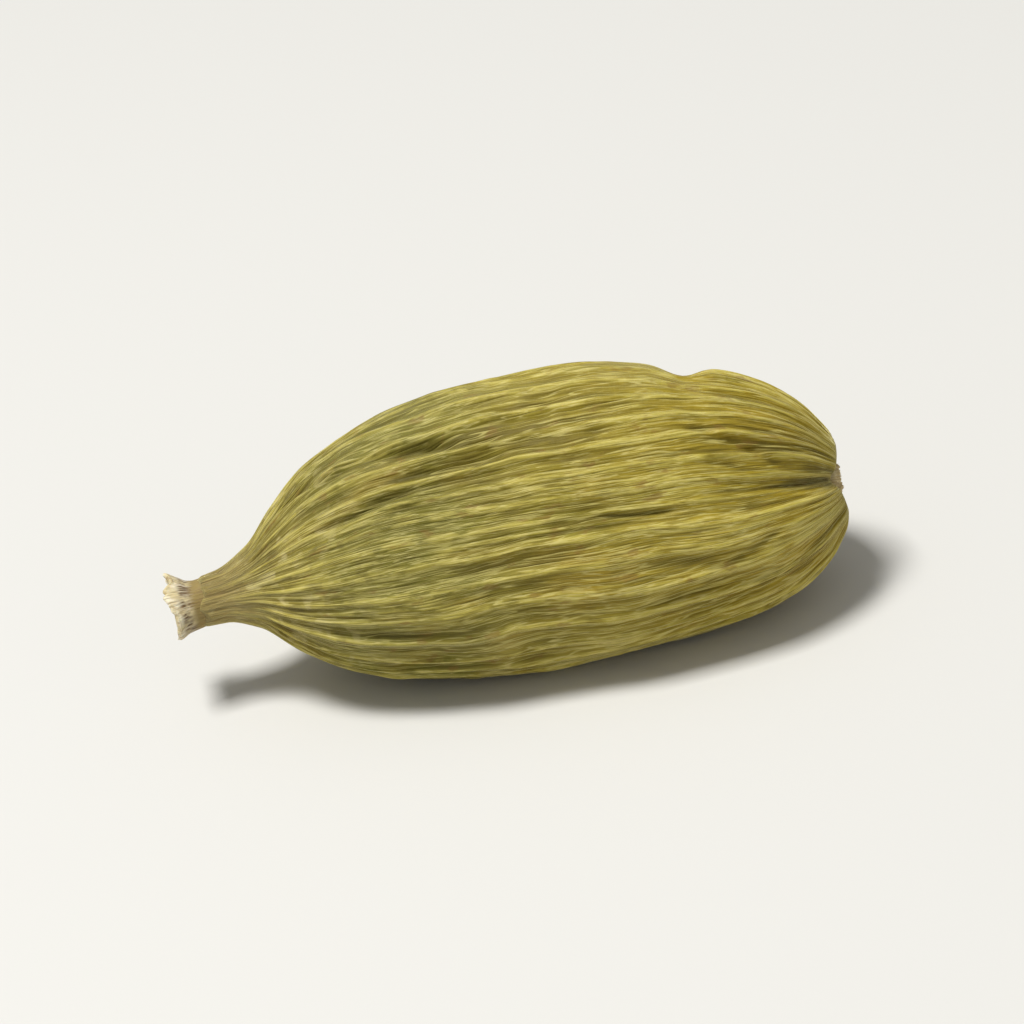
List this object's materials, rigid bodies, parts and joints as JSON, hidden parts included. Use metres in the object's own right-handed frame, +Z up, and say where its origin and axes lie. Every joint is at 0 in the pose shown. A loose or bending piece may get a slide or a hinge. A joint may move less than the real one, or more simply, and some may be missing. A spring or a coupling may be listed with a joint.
{
  "type": "green cardamom pod",
  "caption": "Dried whole spice pod: a ribbed, bluntly three-angled husk with a beak, a ragged dry collar on its tip and a broken stalk stub in its lobed base.",
  "frame": {"origin": "on the surface that the pod lies on, under the middle of its outline seen from above", "axes": "+X along the pod from the beak to the base, +Z up, +Y towards the back; one angle of the three-angled husk is on top"},
  "size_m": [0.018, 0.0078, 0.0073],
  "materials": {
    "dry_husk": "papery dried plant husk, olive green to straw yellow, softly matt with paler rib crests",
    "dry_calyx": "thin dry flower tissue, cream to brown, matt and fibrous",
    "broken_stalk": "broken dry stalk, pale tan, matt and fibrous"
  },
  "bodies": {
    "root": {"husk": "dry_husk", "calyx_remnant": "dry_calyx", "stalk_stub": "broken_stalk"}
  },
  "joints": []
}
